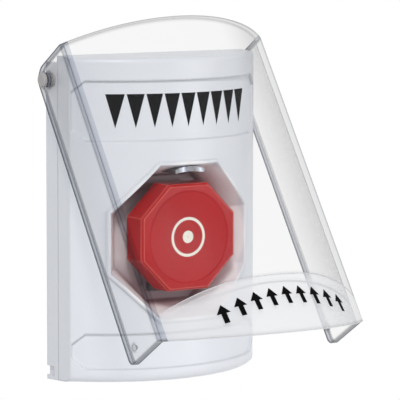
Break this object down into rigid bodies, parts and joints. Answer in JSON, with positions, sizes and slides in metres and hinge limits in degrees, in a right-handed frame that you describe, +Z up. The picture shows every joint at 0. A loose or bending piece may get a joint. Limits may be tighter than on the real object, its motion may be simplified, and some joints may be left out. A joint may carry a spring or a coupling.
{
  "type": "alarm button station",
  "caption": "Wall-mounted alarm button station with a white rounded housing, a red octagonal push button in a raised dish, an indicator lens and a clear hinged lid that is lifted part way.",
  "frame": {"origin": "the middle of the two wall-box screws, on the wall", "axes": "front faces -y, +x is to the right seen from the front, +z is up"},
  "size_m": [0.094, 0.1101, 0.1395],
  "materials": {
    "housing_plastic": "fine moulded texture",
    "button_plastic": "smooth moulded",
    "clear_plastic": "clear polished",
    "lens_plastic": "clear faceted",
    "pin_plastic": "moulded",
    "black_plastic": "moulded",
    "inner_plastic": "moulded",
    "block_plastic": "moulded",
    "plunger_plastic": "moulded",
    "seal_rubber": "soft",
    "spring_steel": "drawn wire",
    "bracket_steel": "zinc plated sheet",
    "screw_steel": "zinc plated",
    "terminal_brass": "turned",
    "board_laminate": "solder mask"
  },
  "bodies": {
    "station": {"housing_cover": "housing_plastic", "cover_screws": "screw_steel", "back_plate": "housing_plastic", "wall_gasket": "seal_rubber", "hinge_pin_left": "pin_plastic", "hinge_pin_right": "pin_plastic", "stem_bush": "inner_plastic", "dust_seal": "seal_rubber", "return_spring": "spring_steel", "switch_bracket": "bracket_steel", "bracket_screws": "screw_steel", "contact_block_left": "block_plastic", "contact_block_right": "block_plastic", "terminal_screws": "terminal_brass", "indicator_lens": "lens_plastic", "led_board": "board_laminate", "leds": "lens_plastic", "board_connector": "black_plastic", "board_screws": "screw_steel"},
    "lid": {"lid": "clear_plastic"},
    "button": {"button_cap": "button_plastic", "button_stem": "inner_plastic", "stem_clip": "spring_steel", "actuator_bar": "inner_plastic"},
    "plunger_left": {"contact_plunger_left": "plunger_plastic"},
    "plunger_right": {"contact_plunger_right": "plunger_plastic"},
    "reset": {"reset_slide": "black_plastic"},
    "latch": {"latch_plate": "bracket_steel"}
  },
  "joints": [
    {"name": "lid_hinge", "type": "hinge", "parent": "station", "child": "lid", "pos_m": [0, -0.0045, 0.0527], "axis": [-1, 0, 0], "range_deg": [-33.25, 28]},
    {"name": "button_press", "type": "slide", "parent": "station", "child": "button", "axis": [0, 1, 0], "range_m": [0, 0.004], "stiffness_N_per_m": 2500, "springref_m": -0.004, "deforming": ["return_spring"]},
    {"name": "plunger_left_slide", "type": "slide", "parent": "station", "child": "plunger_left", "axis": [0, 1, 0], "range_m": [0, 0.004]},
    {"name": "plunger_right_slide", "type": "slide", "parent": "station", "child": "plunger_right", "axis": [0, 1, 0], "range_m": [0, 0.004]},
    {"name": "reset_press", "type": "slide", "parent": "station", "child": "reset", "axis": [0, 1, 0], "range_m": [0, 0.0012], "stiffness_N_per_m": 600, "springref_m": -0.001},
    {"name": "latch_slide", "type": "slide", "parent": "station", "child": "latch", "axis": [0, 0, -1], "range_m": [0, 0.0012]}
  ],
  "couplings": [
    {"joint": "plunger_left_slide", "follows": "button_press", "ratio": 1},
    {"joint": "plunger_right_slide", "follows": "button_press", "ratio": 1},
    {"joint": "latch_slide", "follows": "reset_press", "ratio": 1}
  ]
}
